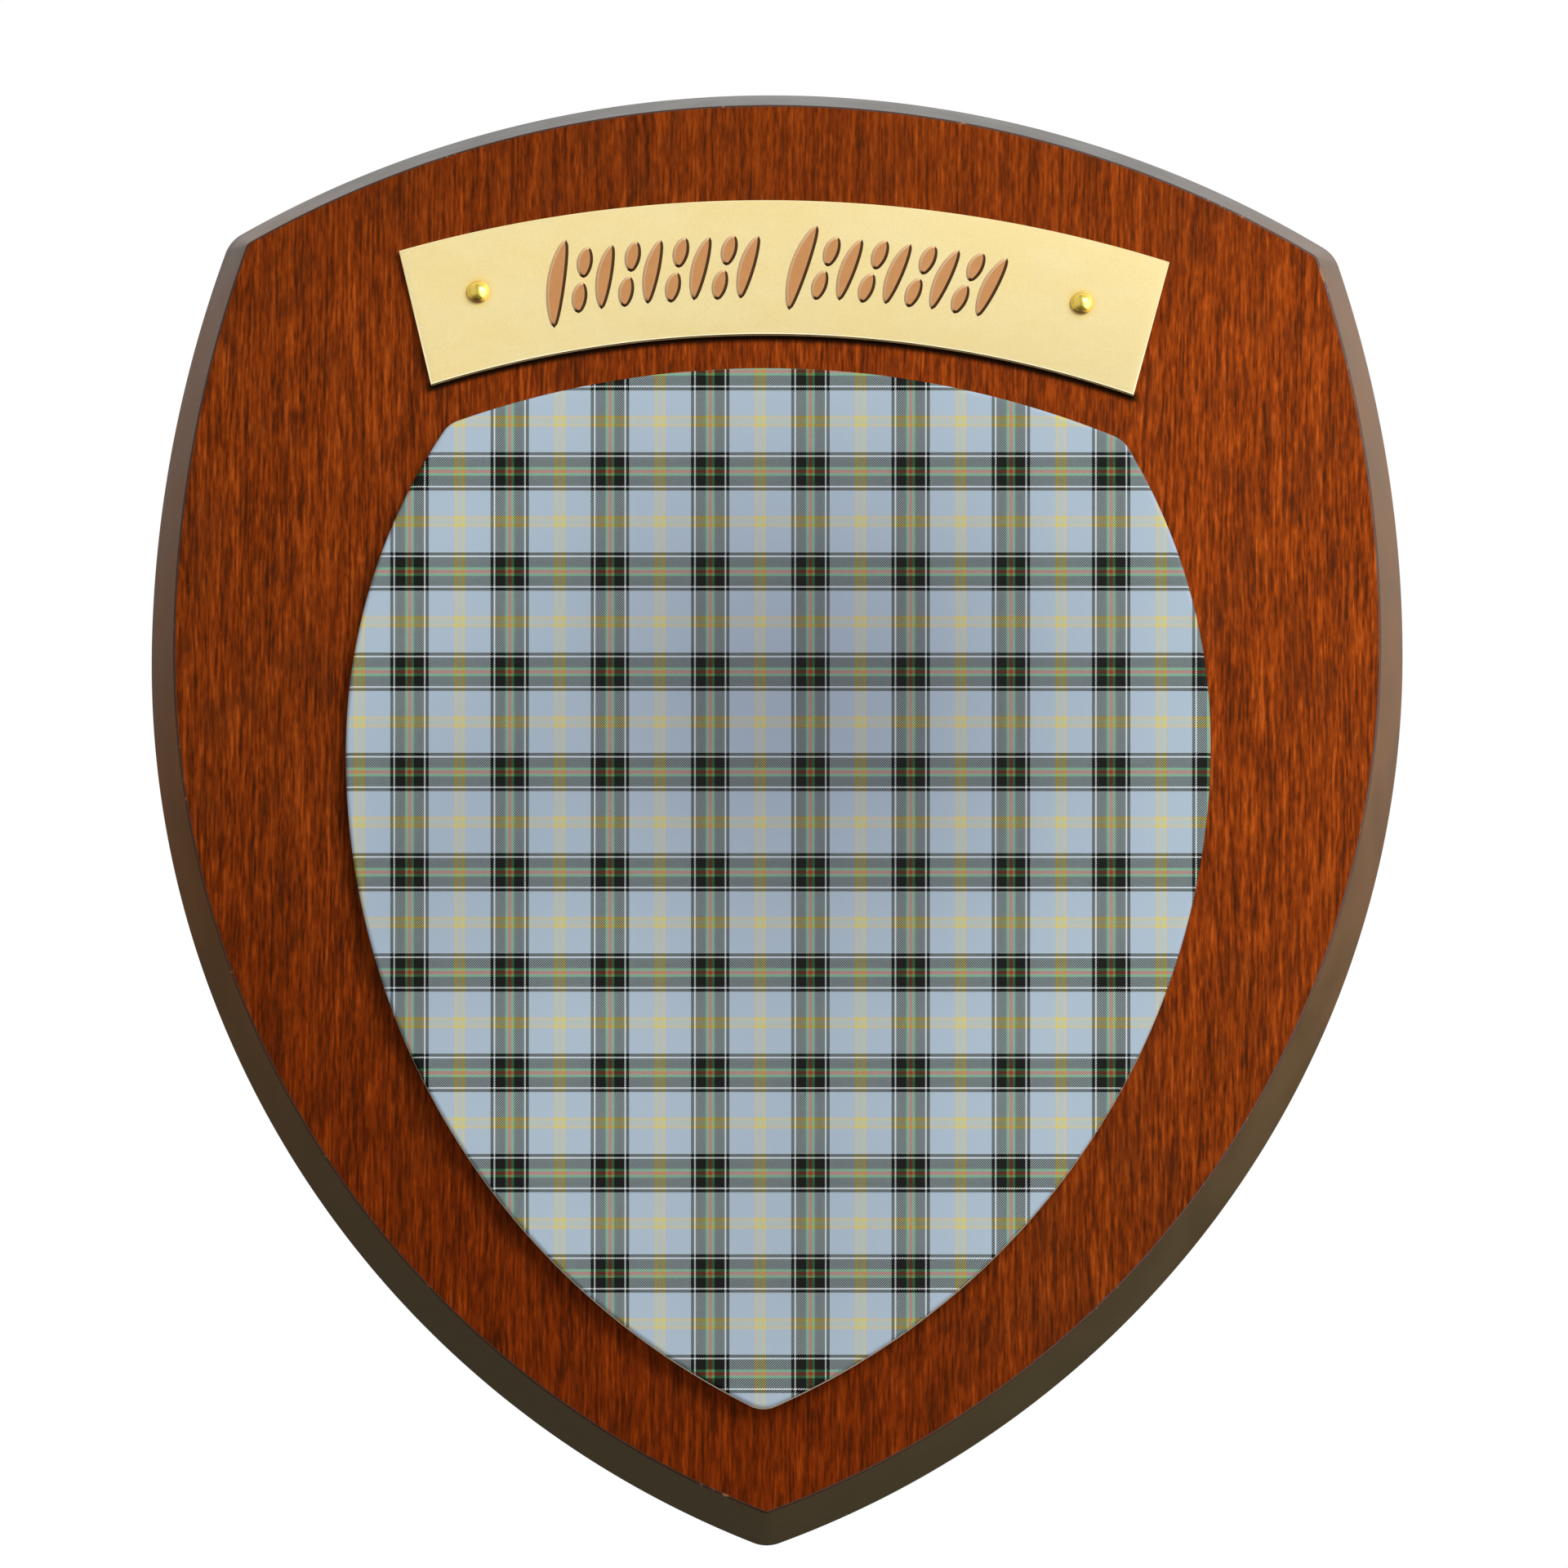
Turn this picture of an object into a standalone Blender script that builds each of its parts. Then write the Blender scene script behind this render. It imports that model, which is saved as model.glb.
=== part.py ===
"""A wooden wall plaque: a shield-shaped board that carries a raised tartan shield and an arched brass nameplate.

Its flat back lies at y = 0 against the wall, its front faces -Y and +Z is up. Sizes are in millimetres and are
turned into metres where vertices are made.
"""

import math

import bmesh
import bpy
from mathutils import Vector

MM = 0.001

# The board: its outline is given by the places where its arcs meet, before they are rounded
BOARD_WIDTH = 174.0
BOARD_APEX_Z = 101.5
BOARD_CORNER_X = 77.2
BOARD_CORNER_Z = 79.8
BOARD_WIDEST_Z = 22.4
BOARD_TIP_Z = -101.8
BOARD_ROUNDING = 5.0
BOARD_THICKNESS = 13.0
BACK_CHAMFER = 0.5
EDGE_LAND = 1.5
EDGE_SLOPE_INSET = 3.7
FACE_CHAMFER = 0.25

# The raised shield, fixed with a slight lean to the right
SHIELD_WIDTH = 119.0
SHIELD_APEX_Z = 60.2
SHIELD_CORNER_X = 46.6
SHIELD_CORNER_Z = 51.3
SHIELD_WIDEST_Z = 7.6
SHIELD_TIP_Z = -84.1
SHIELD_ROUNDING = 4.0
SHIELD_CENTRE_X = 0.25
SHIELD_LEAN_DEG = 0.65
SHIELD_THICKNESS = 3.0
SHIELD_EDGE_RADIUS = 0.6
SHIELD_EDGE_STEPS = 4

# The nameplate: a strip between two arcs, the lower one bent more, that leans a little to the right
PLATE_APEX_Z = 84.12
PLATE_TOP_RADIUS = 184.0
PLATE_BOTTOM_RADIUS = 155.5
PLATE_HEIGHT = 18.9
PLATE_TOP_HALF_WIDTH = 53.4
PLATE_BOTTOM_HALF_WIDTH = 48.6
PLATE_THICKNESS = 1.0
PLATE_CENTRE_X = 0.3
PLATE_LEAN_DEG = 0.14
PLATE_ARC_STEPS = 24

# The row of raised strokes on the nameplate, in two groups. All lean the same way: a tall stroke opens each group,
# and after it come pairs of short strokes and single strokes by turns
GROUP_STARTS = (-31.2, 2.6)
STROKES_IN_GROUP = 9
STROKE_SPACING = 3.3
TALL_STROKE = (12.0, 2.6)
SINGLE_STROKE = (8.8, 2.3)
SHORT_STROKE = (4.2, 2.2)
SHORT_STROKE_OFFSET = 2.4
STROKE_LEAN = 0.3
STROKE_BOW = 0.08
STROKE_RISE = 0.25
STROKE_ROOT = 0.4
STROKE_STEPS = 8
STROKE_TAPER = 0.5

# The domed pins and the holes they pass through. Each pin is placed by how far it stands to the right of the
# nameplate's middle and above its middle arc
PINS = (("left", -42.3, 1.05), ("right", 41.3, 0.5))
PIN_HEAD_DIAMETER = 3.1
PIN_HEAD_HEIGHT = 1.15
PIN_SHANK_DIAMETER = 1.3
PIN_LENGTH = 10.5
PIN_POINT_LENGTH = 1.6
PIN_SIDES = 24
DOME_STEPS = 6
PIN_HOLE_DIAMETER = 1.9
PIN_HOLE_DEPTH = 9.8

# The keyhole slot in the back, which takes a screw head 8 mm across
KEYHOLE_ENTRY_Z = 52.0
KEYHOLE_SEAT_Z = 66.0
KEYHOLE_ENTRY_DIAMETER = 10.5
KEYHOLE_NECK_WIDTH = 5.0
KEYHOLE_UNDERCUT_WIDTH = 9.6
KEYHOLE_LIP = 3.0
KEYHOLE_UNDERCUT_DEPTH = 8.1
KEYHOLE_DEPTH = 8.4
KEYHOLE_ROUND_STEPS = 12

# Pieces that touch keep this gap, and a cutter starts this far outside what it cuts
TOUCH_GAP = 0.3
CUTTER_OVERRUN = 1.0

BOARD_FRONT = -BOARD_THICKNESS
SHIELD_BACK = BOARD_FRONT - TOUCH_GAP
PLATE_BACK = BOARD_FRONT - TOUCH_GAP
PLATE_FRONT = PLATE_BACK - PLATE_THICKNESS
PIN_HEAD_BASE = PLATE_FRONT - TOUCH_GAP
PLATE_MIDDLE_Z = PLATE_APEX_Z - PLATE_HEIGHT / 2
PLATE_MIDDLE_RADIUS = PLATE_TOP_RADIUS - PLATE_HEIGHT / 2

# Colours are linear
MAHOGANY = (0.19, 0.032, 0.006, 1.0)
TARTAN_BLUE = (0.42, 0.52, 0.66, 1.0)
SATIN_BRASS = (0.86, 0.70, 0.32, 1.0)
BRIGHT_BRASS = (0.80, 0.56, 0.16, 1.0)


def clear_scene():
    for item in list(bpy.data.objects):
        bpy.data.objects.remove(item, do_unlink=True)


def new_material(name, color, roughness, metallic):
    material = bpy.data.materials.new(name)
    material.use_nodes = True
    shader = material.node_tree.nodes["Principled BSDF"]
    shader.inputs["Base Color"].default_value = color
    shader.inputs["Roughness"].default_value = roughness
    shader.inputs["Metallic"].default_value = metallic
    return material


def finish_mesh(name, bm, material=None, sharp_deg=30.0):
    """Turns a closed bmesh into a shaded object."""
    bmesh.ops.recalc_face_normals(bm, faces=bm.faces)
    mesh = bpy.data.meshes.new(name)
    bm.to_mesh(mesh)
    bm.free()
    mesh.shade_smooth()
    mesh.set_sharp_from_angle(angle=math.radians(sharp_deg))
    item = bpy.data.objects.new(name, mesh)
    bpy.context.scene.collection.objects.link(item)
    if material:
        mesh.materials.append(material)
    return item


def loft(rings):
    """Joins rings of (x, y, z) millimetre points into one closed bmesh, capped at both ends."""
    bm = bmesh.new()
    loops = [[bm.verts.new(Vector(point) * MM) for point in ring] for ring in rings]
    for lower, upper in zip(loops, loops[1:]):
        for i in range(len(lower)):
            j = (i + 1) % len(lower)
            bm.faces.new((lower[i], lower[j], upper[j], upper[i]))
    bm.faces.new(reversed(loops[0]))
    bm.faces.new(loops[-1])
    return bm


def at_depth(outline, y):
    return [(x, y, z) for x, z in outline]


def arc(centre, radius, start, end, steps):
    """Points of an arc about centre, from one angle to the other, without its last point."""
    turns = [start + (end - start) * i / steps for i in range(steps)]
    return [(centre[0] + radius * math.cos(a), centre[1] + radius * math.sin(a)) for a in turns]


def circles_meet(centre_a, radius_a, centre_b, radius_b):
    """The meeting point of two circles that lies further to the right."""
    across = Vector(centre_b) - Vector(centre_a)
    distance = across.length
    along = (radius_a**2 - radius_b**2 + distance**2) / (2 * distance)
    aside = math.sqrt(max(radius_a**2 - along**2, 0.0))
    unit = across / distance
    foot = Vector(centre_a) + unit * along
    normal = Vector((-unit.y, unit.x))
    return max((foot + normal * aside, foot - normal * aside), key=lambda point: point.x)


def angle_from(centre, point):
    return math.atan2(point[1] - centre[1], point[0] - centre[0])


def arc_radius(half_chord, rise):
    return (half_chord**2 + rise**2) / (2 * rise)


class Shield:
    """A heater shield: one arc across the top and two arcs down each side, rounded where they meet."""

    TOP_STEPS, CORNER_STEPS, UPPER_STEPS, LOWER_STEPS, TIP_STEPS = 12, 4, 8, 18, 3
    LEAST_ROUNDING = 0.15

    def __init__(self, width, apex_z, corner_x, corner_z, widest_z, tip_z, rounding):
        half = width / 2
        self.rounding = rounding
        self.top_radius = arc_radius(corner_x, apex_z - corner_z)
        self.upper_radius = arc_radius(corner_z - widest_z, half - corner_x)
        self.lower_radius = arc_radius(widest_z - tip_z, half)
        self.top_centre = (0.0, apex_z - self.top_radius)
        self.upper_centre = (half - self.upper_radius, widest_z)
        self.lower_centre = (half - self.lower_radius, widest_z)

    def outline(self, inset=0.0):
        """The outline this far inside the shield's own, from the apex round by the right."""
        rounding = max(self.rounding - inset, self.LEAST_ROUNDING)
        reach = inset + rounding
        top, upper, lower = self.top_centre, self.upper_centre, self.lower_centre
        corner = circles_meet(top, self.top_radius - reach, upper, self.upper_radius - reach)
        tip_drop = math.sqrt((self.lower_radius - reach) ** 2 - lower[0] ** 2)
        tip = (0.0, lower[1] - tip_drop)
        over, beside, under = angle_from(top, corner), angle_from(upper, corner), angle_from(lower, tip)
        half = arc(top, self.top_radius - inset, math.pi / 2, over, self.TOP_STEPS)
        half += arc(corner, rounding, over, beside, self.CORNER_STEPS)
        half += arc(upper, self.upper_radius - inset, beside, 0.0, self.UPPER_STEPS)
        half += arc(lower, self.lower_radius - inset, 0.0, under, self.LOWER_STEPS)
        half += arc(tip, rounding, under, -math.pi / 2, self.TIP_STEPS)
        lowest = (0.0, tip[1] - rounding)
        return half + [lowest] + [(-x, z) for x, z in reversed(half[1:])]


def cut(item, cutter):
    """Takes the cutter's shape out of the item, and keeps the cutter as a guide only."""
    cutter.hide_render = True
    cutter.display_type = "WIRE"
    modifier = item.modifiers.new(cutter.name, "BOOLEAN")
    modifier.operation = "DIFFERENCE"
    modifier.solver = "EXACT"
    modifier.object = cutter


def prism(name, outline, y_back, y_front, material=None):
    return finish_mesh(name, loft([at_depth(outline, y_back), at_depth(outline, y_front)]), material)


def circle(centre, diameter, steps):
    return arc(centre, diameter / 2, 0.0, 2 * math.pi, steps)


def round_ended_slot(width, low_z, high_z):
    """An upright slot with half-round ends about the two heights, centred on x = 0."""
    upper = arc((0.0, high_z), width / 2, 0.0, math.pi, KEYHOLE_ROUND_STEPS) + [(-width / 2, high_z)]
    lower = arc((0.0, low_z), width / 2, math.pi, 2 * math.pi, KEYHOLE_ROUND_STEPS) + [(width / 2, low_z)]
    return upper + lower


def leaned(x, z, lean_deg):
    """The point (x, z) turned about the origin, so that what stands upright leans to the right."""
    lean = math.radians(lean_deg)
    return (x * math.cos(lean) + z * math.sin(lean), z * math.cos(lean) - x * math.sin(lean))


def plate_place(x, z):
    """A place on the leaning nameplate, by how far it lies to the right of its middle and above it."""
    turned_x, turned_z = leaned(x, z, PLATE_LEAN_DEG)
    return (PLATE_CENTRE_X + turned_x, PLATE_MIDDLE_Z + turned_z)


def on_plate(angle, radius):
    """A place on the nameplate, by its angle from upright about the upper arc's centre and its radius."""
    return plate_place(radius * math.sin(angle), radius * math.cos(angle) - PLATE_MIDDLE_RADIUS)


def pin_places():
    """Each pin's side, with its x and z."""
    places = []
    for side, aside, above in PINS:
        radius = PLATE_MIDDLE_RADIUS + above
        places.append((side, on_plate(math.asin(aside / radius), radius)))
    return places


def make_backboard(material):
    shield = Shield(
        BOARD_WIDTH, BOARD_APEX_Z, BOARD_CORNER_X, BOARD_CORNER_Z, BOARD_WIDEST_Z, BOARD_TIP_Z, BOARD_ROUNDING
    )
    slope = EDGE_SLOPE_INSET / (BOARD_THICKNESS - EDGE_LAND)
    chamfer_start = BOARD_THICKNESS - FACE_CHAMFER
    levels = (
        (0.0, BACK_CHAMFER),
        (BACK_CHAMFER, 0.0),
        (EDGE_LAND, 0.0),
        (chamfer_start, slope * (chamfer_start - EDGE_LAND)),
        (BOARD_THICKNESS, EDGE_SLOPE_INSET + FACE_CHAMFER),
    )
    rings = [at_depth(shield.outline(inset), -depth) for depth, inset in levels]
    board = finish_mesh("backboard", loft(rings), material)

    entry = circle((0.0, KEYHOLE_ENTRY_Z), KEYHOLE_ENTRY_DIAMETER, 2 * KEYHOLE_ROUND_STEPS)
    neck = round_ended_slot(KEYHOLE_NECK_WIDTH, KEYHOLE_ENTRY_Z, KEYHOLE_SEAT_Z)
    undercut = round_ended_slot(KEYHOLE_UNDERCUT_WIDTH, KEYHOLE_ENTRY_Z, KEYHOLE_SEAT_Z)
    middle_depth = (KEYHOLE_LIP + KEYHOLE_DEPTH) / 2
    cut(board, prism("keyhole_entry_cutter", entry, CUTTER_OVERRUN, -KEYHOLE_DEPTH))
    cut(board, prism("keyhole_neck_cutter", neck, CUTTER_OVERRUN, -middle_depth))
    cut(board, prism("keyhole_undercut_cutter", undercut, -KEYHOLE_LIP, -KEYHOLE_UNDERCUT_DEPTH))
    for side, place in pin_places():
        hole = circle(place, PIN_HOLE_DIAMETER, PIN_SIDES // 2)
        depth_end = BOARD_FRONT + PIN_HOLE_DEPTH
        cut(board, prism(f"board_hole_cutter_{side}", hole, depth_end, BOARD_FRONT - CUTTER_OVERRUN))
    return board


def leaning_outline(shield, inset=0.0):
    places = [leaned(x, z, SHIELD_LEAN_DEG) for x, z in shield.outline(inset)]
    return [(SHIELD_CENTRE_X + x, z) for x, z in places]


def make_tartan_shield(material):
    shield = Shield(
        SHIELD_WIDTH, SHIELD_APEX_Z, SHIELD_CORNER_X, SHIELD_CORNER_Z, SHIELD_WIDEST_Z, SHIELD_TIP_Z, SHIELD_ROUNDING
    )
    rings = [at_depth(leaning_outline(shield), SHIELD_BACK)]
    shoulder = SHIELD_THICKNESS - SHIELD_EDGE_RADIUS
    for i in range(SHIELD_EDGE_STEPS + 1):
        turn = math.pi / 2 * i / SHIELD_EDGE_STEPS
        inset = SHIELD_EDGE_RADIUS * (1 - math.cos(turn))
        depth = shoulder + SHIELD_EDGE_RADIUS * math.sin(turn)
        rings.append(at_depth(leaning_outline(shield, inset), SHIELD_BACK - depth))
    return finish_mesh("tartan_shield", loft(rings), material)


def plate_outline():
    """The nameplate's outline, along its upper arc to the right and back along its lower arc."""
    spread = [2 * i / PLATE_ARC_STEPS - 1 for i in range(PLATE_ARC_STEPS + 1)]
    top_angle = math.asin(PLATE_TOP_HALF_WIDTH / PLATE_TOP_RADIUS)
    outline = [on_plate(share * top_angle, PLATE_TOP_RADIUS) for share in spread]
    bottom_angle = math.asin(PLATE_BOTTOM_HALF_WIDTH / PLATE_BOTTOM_RADIUS)
    for share in spread:
        x = -PLATE_BOTTOM_RADIUS * math.sin(share * bottom_angle)
        sag = PLATE_BOTTOM_RADIUS * (1 - math.cos(share * bottom_angle))
        outline.append(plate_place(x, -PLATE_HEIGHT / 2 - sag))
    return outline


def stroke_row():
    """Each stroke's middle, as millimetres along and above the arch, with its height and greatest width."""
    row = []
    for group_start in GROUP_STARTS:
        row.append(((group_start, 0.0), TALL_STROKE))
        for i in range(1, STROKES_IN_GROUP):
            along = group_start + i * STROKE_SPACING
            if i % 2 == 0:
                row.append(((along, 0.0), SINGLE_STROKE))
                continue
            for above in (-SHORT_STROKE_OFFSET, SHORT_STROKE_OFFSET):
                row.append(((along + above * STROKE_LEAN, above), SHORT_STROKE))
    return row


def stroke_outline(middle, height, width):
    """A leaning, bowed pen stroke, tapered to both ends, as a closed outline of (along, above) places."""
    half_run = Vector((STROKE_LEAN, 1.0)) * height / 2
    start, end = Vector(middle) - half_run, Vector(middle) + half_run
    aside = Vector((-half_run.y, half_run.x)) * 2 * STROKE_BOW
    control = Vector(middle) + aside
    left, right = [], []
    for i in range(1, STROKE_STEPS):
        t = i / STROKE_STEPS
        point = start * (1 - t) ** 2 + control * 2 * t * (1 - t) + end * t**2
        along = (control - start) * (1 - t) + (end - control) * t
        normal = Vector((-along.y, along.x)).normalized()
        half = width / 2 * math.sin(math.pi * t) ** STROKE_TAPER
        left.append(point + normal * half)
        right.append(point - normal * half)
    return [start] + left + [end] + right[::-1]


def make_nameplate(material):
    plate = prism("nameplate", plate_outline(), PLATE_BACK, PLATE_FRONT, material)
    strokes = bmesh.new()
    for middle, (height, width) in stroke_row():
        flat = stroke_outline(middle, height, width)
        bent = [on_plate(x / PLATE_MIDDLE_RADIUS, PLATE_MIDDLE_RADIUS + z) for x, z in flat]
        rings = [at_depth(bent, PLATE_FRONT + STROKE_ROOT), at_depth(bent, PLATE_FRONT - STROKE_RISE)]
        piece = loft(rings)
        part = bpy.data.meshes.new("stroke")
        piece.to_mesh(part)
        piece.free()
        strokes.from_mesh(part)
        bpy.data.meshes.remove(part)
    relief = finish_mesh("nameplate_strokes_guide", strokes)
    relief.hide_render = True
    relief.display_type = "WIRE"
    union = plate.modifiers.new("raised_strokes", "BOOLEAN")
    union.operation = "UNION"
    union.solver = "EXACT"
    union.object = relief
    for side, place in pin_places():
        hole = circle(place, PIN_HOLE_DIAMETER, PIN_SIDES // 2)
        behind, before = PLATE_BACK + CUTTER_OVERRUN, PLATE_FRONT - CUTTER_OVERRUN
        cut(plate, prism(f"plate_hole_cutter_{side}", hole, behind, before))
    return plate


def make_pin(name, place, material):
    """A domed pin along Y: a shallow cap over a flat underside, a round shank and a short point."""
    half_head = PIN_HEAD_DIAMETER / 2
    dome_radius = arc_radius(half_head, PIN_HEAD_HEIGHT)
    dome_centre = PIN_HEAD_HEIGHT - dome_radius
    half_angle = math.asin(half_head / dome_radius)
    profile = []
    for i in range(1, DOME_STEPS + 1):
        turn = half_angle * i / DOME_STEPS
        profile.append((dome_radius * math.sin(turn), dome_centre + dome_radius * math.cos(turn)))
    shank = PIN_SHANK_DIAMETER / 2
    profile.append((shank, 0.0))
    profile.append((shank, PIN_POINT_LENGTH - PIN_LENGTH))
    profile.append((shank / 4, -PIN_LENGTH))
    rings = []
    for radius, height in profile:
        ring = circle((0.0, 0.0), 2 * radius, PIN_SIDES)
        rings.append([(x, -height, z) for x, z in ring])
    pin = finish_mesh(name, loft(rings), material)
    pin.location = Vector((place[0], PIN_HEAD_BASE, place[1])) * MM
    return pin


def main():
    clear_scene()
    make_backboard(new_material("mahogany", MAHOGANY, 0.38, 0.0))
    make_tartan_shield(new_material("tartan", TARTAN_BLUE, 0.6, 0.0))
    make_nameplate(new_material("satin_brass", SATIN_BRASS, 0.42, 1.0))
    bright_brass = new_material("bright_brass", BRIGHT_BRASS, 0.15, 1.0)
    for side, place in pin_places():
        make_pin(f"nameplate_pin_{side}", place, bright_brass)


main()
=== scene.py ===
"""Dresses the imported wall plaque: mahogany board, tartan shield, brass nameplate and its two domed pins.

The plaque's flat back lies at y = 0, its front faces -Y and +Z is up. Sizes are in millimetres and become
metres where vertices are made. Colours written with seen() are 8-bit display values.
"""

import math

import bmesh
import bpy
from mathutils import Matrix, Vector


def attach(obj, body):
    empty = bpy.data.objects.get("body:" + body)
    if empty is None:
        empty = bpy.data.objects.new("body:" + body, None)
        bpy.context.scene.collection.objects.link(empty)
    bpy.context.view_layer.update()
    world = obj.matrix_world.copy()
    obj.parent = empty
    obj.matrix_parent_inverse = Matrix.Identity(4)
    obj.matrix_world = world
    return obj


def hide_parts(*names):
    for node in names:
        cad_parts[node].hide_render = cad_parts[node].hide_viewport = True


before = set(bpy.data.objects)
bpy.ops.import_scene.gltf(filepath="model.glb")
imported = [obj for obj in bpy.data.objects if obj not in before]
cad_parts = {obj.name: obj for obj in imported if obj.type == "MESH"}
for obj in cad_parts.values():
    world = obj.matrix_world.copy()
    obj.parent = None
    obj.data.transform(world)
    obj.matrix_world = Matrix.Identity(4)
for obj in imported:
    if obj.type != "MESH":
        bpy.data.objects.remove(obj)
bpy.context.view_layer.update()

MM = 0.001
BODY = "root"

# The board: its outline is given by the places where its arcs meet, before they are rounded
BOARD_WIDTH = 174.0
BOARD_APEX_Z = 101.5
BOARD_CORNER_X = 77.2
BOARD_CORNER_Z = 79.8
BOARD_WIDEST_Z = 22.4
BOARD_TIP_Z = -101.8
BOARD_ROUNDING = 5.0
BOARD_THICKNESS = 13.0
EDGE_LAND = 1.5
EDGE_SLOPE_INSET = 3.7
BACK_ROUNDING = 0.5
LAND_ROUNDING = 0.4
ARRIS_SIZE = 0.25
ARRIS_STEPS = 6
FACE_RIM_WIDTHS = (0.35, 1.1)

# The raised shield, fixed with a slight lean to the right
SHIELD_WIDTH = 119.0
SHIELD_APEX_Z = 60.2
SHIELD_CORNER_X = 46.6
SHIELD_CORNER_Z = 51.3
SHIELD_WIDEST_Z = 7.6
SHIELD_TIP_Z = -84.1
SHIELD_ROUNDING = 4.0
SHIELD_CENTRE_X = 0.25
SHIELD_LEAN_DEG = 0.65
SHIELD_THICKNESS = 3.0
SHIELD_EDGE_RADIUS = 0.6
SHIELD_EDGE_STEPS = 10

# The nameplate: a strip between two arcs, the lower one bent more, that leans a little to the right
PLATE_APEX_Z = 84.12
PLATE_TOP_RADIUS = 184.0
PLATE_BOTTOM_RADIUS = 155.5
PLATE_HEIGHT = 18.9
PLATE_TOP_HALF_WIDTH = 53.4
PLATE_BOTTOM_HALF_WIDTH = 48.6
PLATE_THICKNESS = 1.0
PLATE_CENTRE_X = 0.3
PLATE_LEAN_DEG = 0.14
PLATE_ARC_STEPS = 96
PLATE_RIM_WIDTH = 0.24
PLATE_RIM_DEPTH = 0.14
PLATE_RIM_STEPS = 6

# The row of raised strokes on the nameplate, in two groups. All lean the same way: a tall stroke opens each
# group, then come pairs of short strokes and single strokes by turns. Each is given by its height and width
GROUP_STARTS = (-31.2, 2.6)
STROKES_IN_GROUP = 9
STROKE_SPACING = 3.3
TALL_STROKE = (12.0, 2.6)
SINGLE_STROKE = (8.8, 2.3)
SHORT_STROKE = (4.2, 2.2)
SHORT_STROKE_OFFSET = 2.4
STROKE_LEAN = 0.3
STROKE_BOW = 0.08
STROKE_RISE = 0.25
STROKE_ROOT = 0.2
STROKE_BEVEL = 0.42
STROKE_STEPS = 24
STROKE_TAPER = 0.5
LEAST_HALF_STROKE = 0.01

# The domed pins and the holes they pass through. Each pin is placed by how far it stands to the right of
# the nameplate's middle and above its middle arc
PINS = (("left", -42.3, 1.05), ("right", 41.3, 0.5))
PIN_HEAD_DIAMETER = 3.1
PIN_HEAD_HEIGHT = 1.15
PIN_SHANK_DIAMETER = 1.3
PIN_LENGTH = 10.5
PIN_POINT_LENGTH = 1.6
PIN_POINT_SHARE = 0.25
PIN_SIDES = 64
DOME_STEPS = 18
PIN_HOLE_DIAMETER = 1.9
PIN_HOLE_DEPTH = 9.8

# The keyhole slot in the back
KEYHOLE_ENTRY_Z = 52.0
KEYHOLE_SEAT_Z = 66.0
KEYHOLE_ENTRY_DIAMETER = 10.5
KEYHOLE_NECK_WIDTH = 5.0
KEYHOLE_UNDERCUT_WIDTH = 9.6
KEYHOLE_LIP = 3.0
KEYHOLE_UNDERCUT_DEPTH = 8.1
KEYHOLE_DEPTH = 8.4
KEYHOLE_ROUND_STEPS = 32

TOUCH_GAP = 0.3
CUTTER_OVERRUN = 1.0

# Edges sharper than this angle, and faces turned this squarely to the front or back, are shaded flat
SHARP_DEG = 35.0
FLAT_NORMAL = 0.9999

# An outline's mitred corner is drawn in by no more than the inset divided by this
LEAST_MITRE = 0.3

BOARD_FRONT = -BOARD_THICKNESS
SHIELD_BACK = BOARD_FRONT - TOUCH_GAP
PLATE_BACK = BOARD_FRONT - TOUCH_GAP
PLATE_FRONT = PLATE_BACK - PLATE_THICKNESS
PIN_HEAD_BASE = PLATE_FRONT - TOUCH_GAP
PLATE_MIDDLE_Z = PLATE_APEX_Z - PLATE_HEIGHT / 2
PLATE_MIDDLE_RADIUS = PLATE_TOP_RADIUS - PLATE_HEIGHT / 2

# The camera stands a little below the plaque and looks up at it, rolled by less than a degree
CAMERA_TARGET = (1.17, 0.0, 4.37)
CAMERA_DISTANCE = 1500.0
CAMERA_BELOW_DEG = 7.7
CAMERA_ROLL_DEG = 0.7
CAMERA_LENS = 247.8
CAMERA_SENSOR = 36.0
CAMERA_CLIP_M = (0.05, 50.0)

# One soft light stands before the plaque, above it and to the right. Its power is in watts
KEY_LIGHT_PLACE = (630.0, -1140.0, 705.0)
KEY_LIGHT_SIZE = 700.0
KEY_LIGHT_POWER = 16.3

# The floor lies below the picture
FLOOR_Z = -1200.0
FLOOR_SIZE = 6000.0


# Geometry


def at_depth(outline, y):
    return [(x, y, z) for x, z in outline]


def arc(centre, radius, start, end, steps):
    """Points of an arc about centre, from one angle to the other, without its last point."""
    turns = [start + (end - start) * i / steps for i in range(steps)]
    return [(centre[0] + radius * math.cos(a), centre[1] + radius * math.sin(a)) for a in turns]


def circle(centre, diameter, steps):
    return arc(centre, diameter / 2, 0.0, 2 * math.pi, steps)


def circles_meet(centre_a, radius_a, centre_b, radius_b):
    """The meeting point of two circles that lies further to the right."""
    across = Vector(centre_b) - Vector(centre_a)
    distance = across.length
    along = (radius_a**2 - radius_b**2 + distance**2) / (2 * distance)
    aside = math.sqrt(max(radius_a**2 - along**2, 0.0))
    unit = across / distance
    foot = Vector(centre_a) + unit * along
    normal = Vector((-unit.y, unit.x))
    return max((foot + normal * aside, foot - normal * aside), key=lambda point: point.x)


def angle_from(centre, point):
    return math.atan2(point[1] - centre[1], point[0] - centre[0])


def arc_radius(half_chord, rise):
    return (half_chord**2 + rise**2) / (2 * rise)


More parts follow.
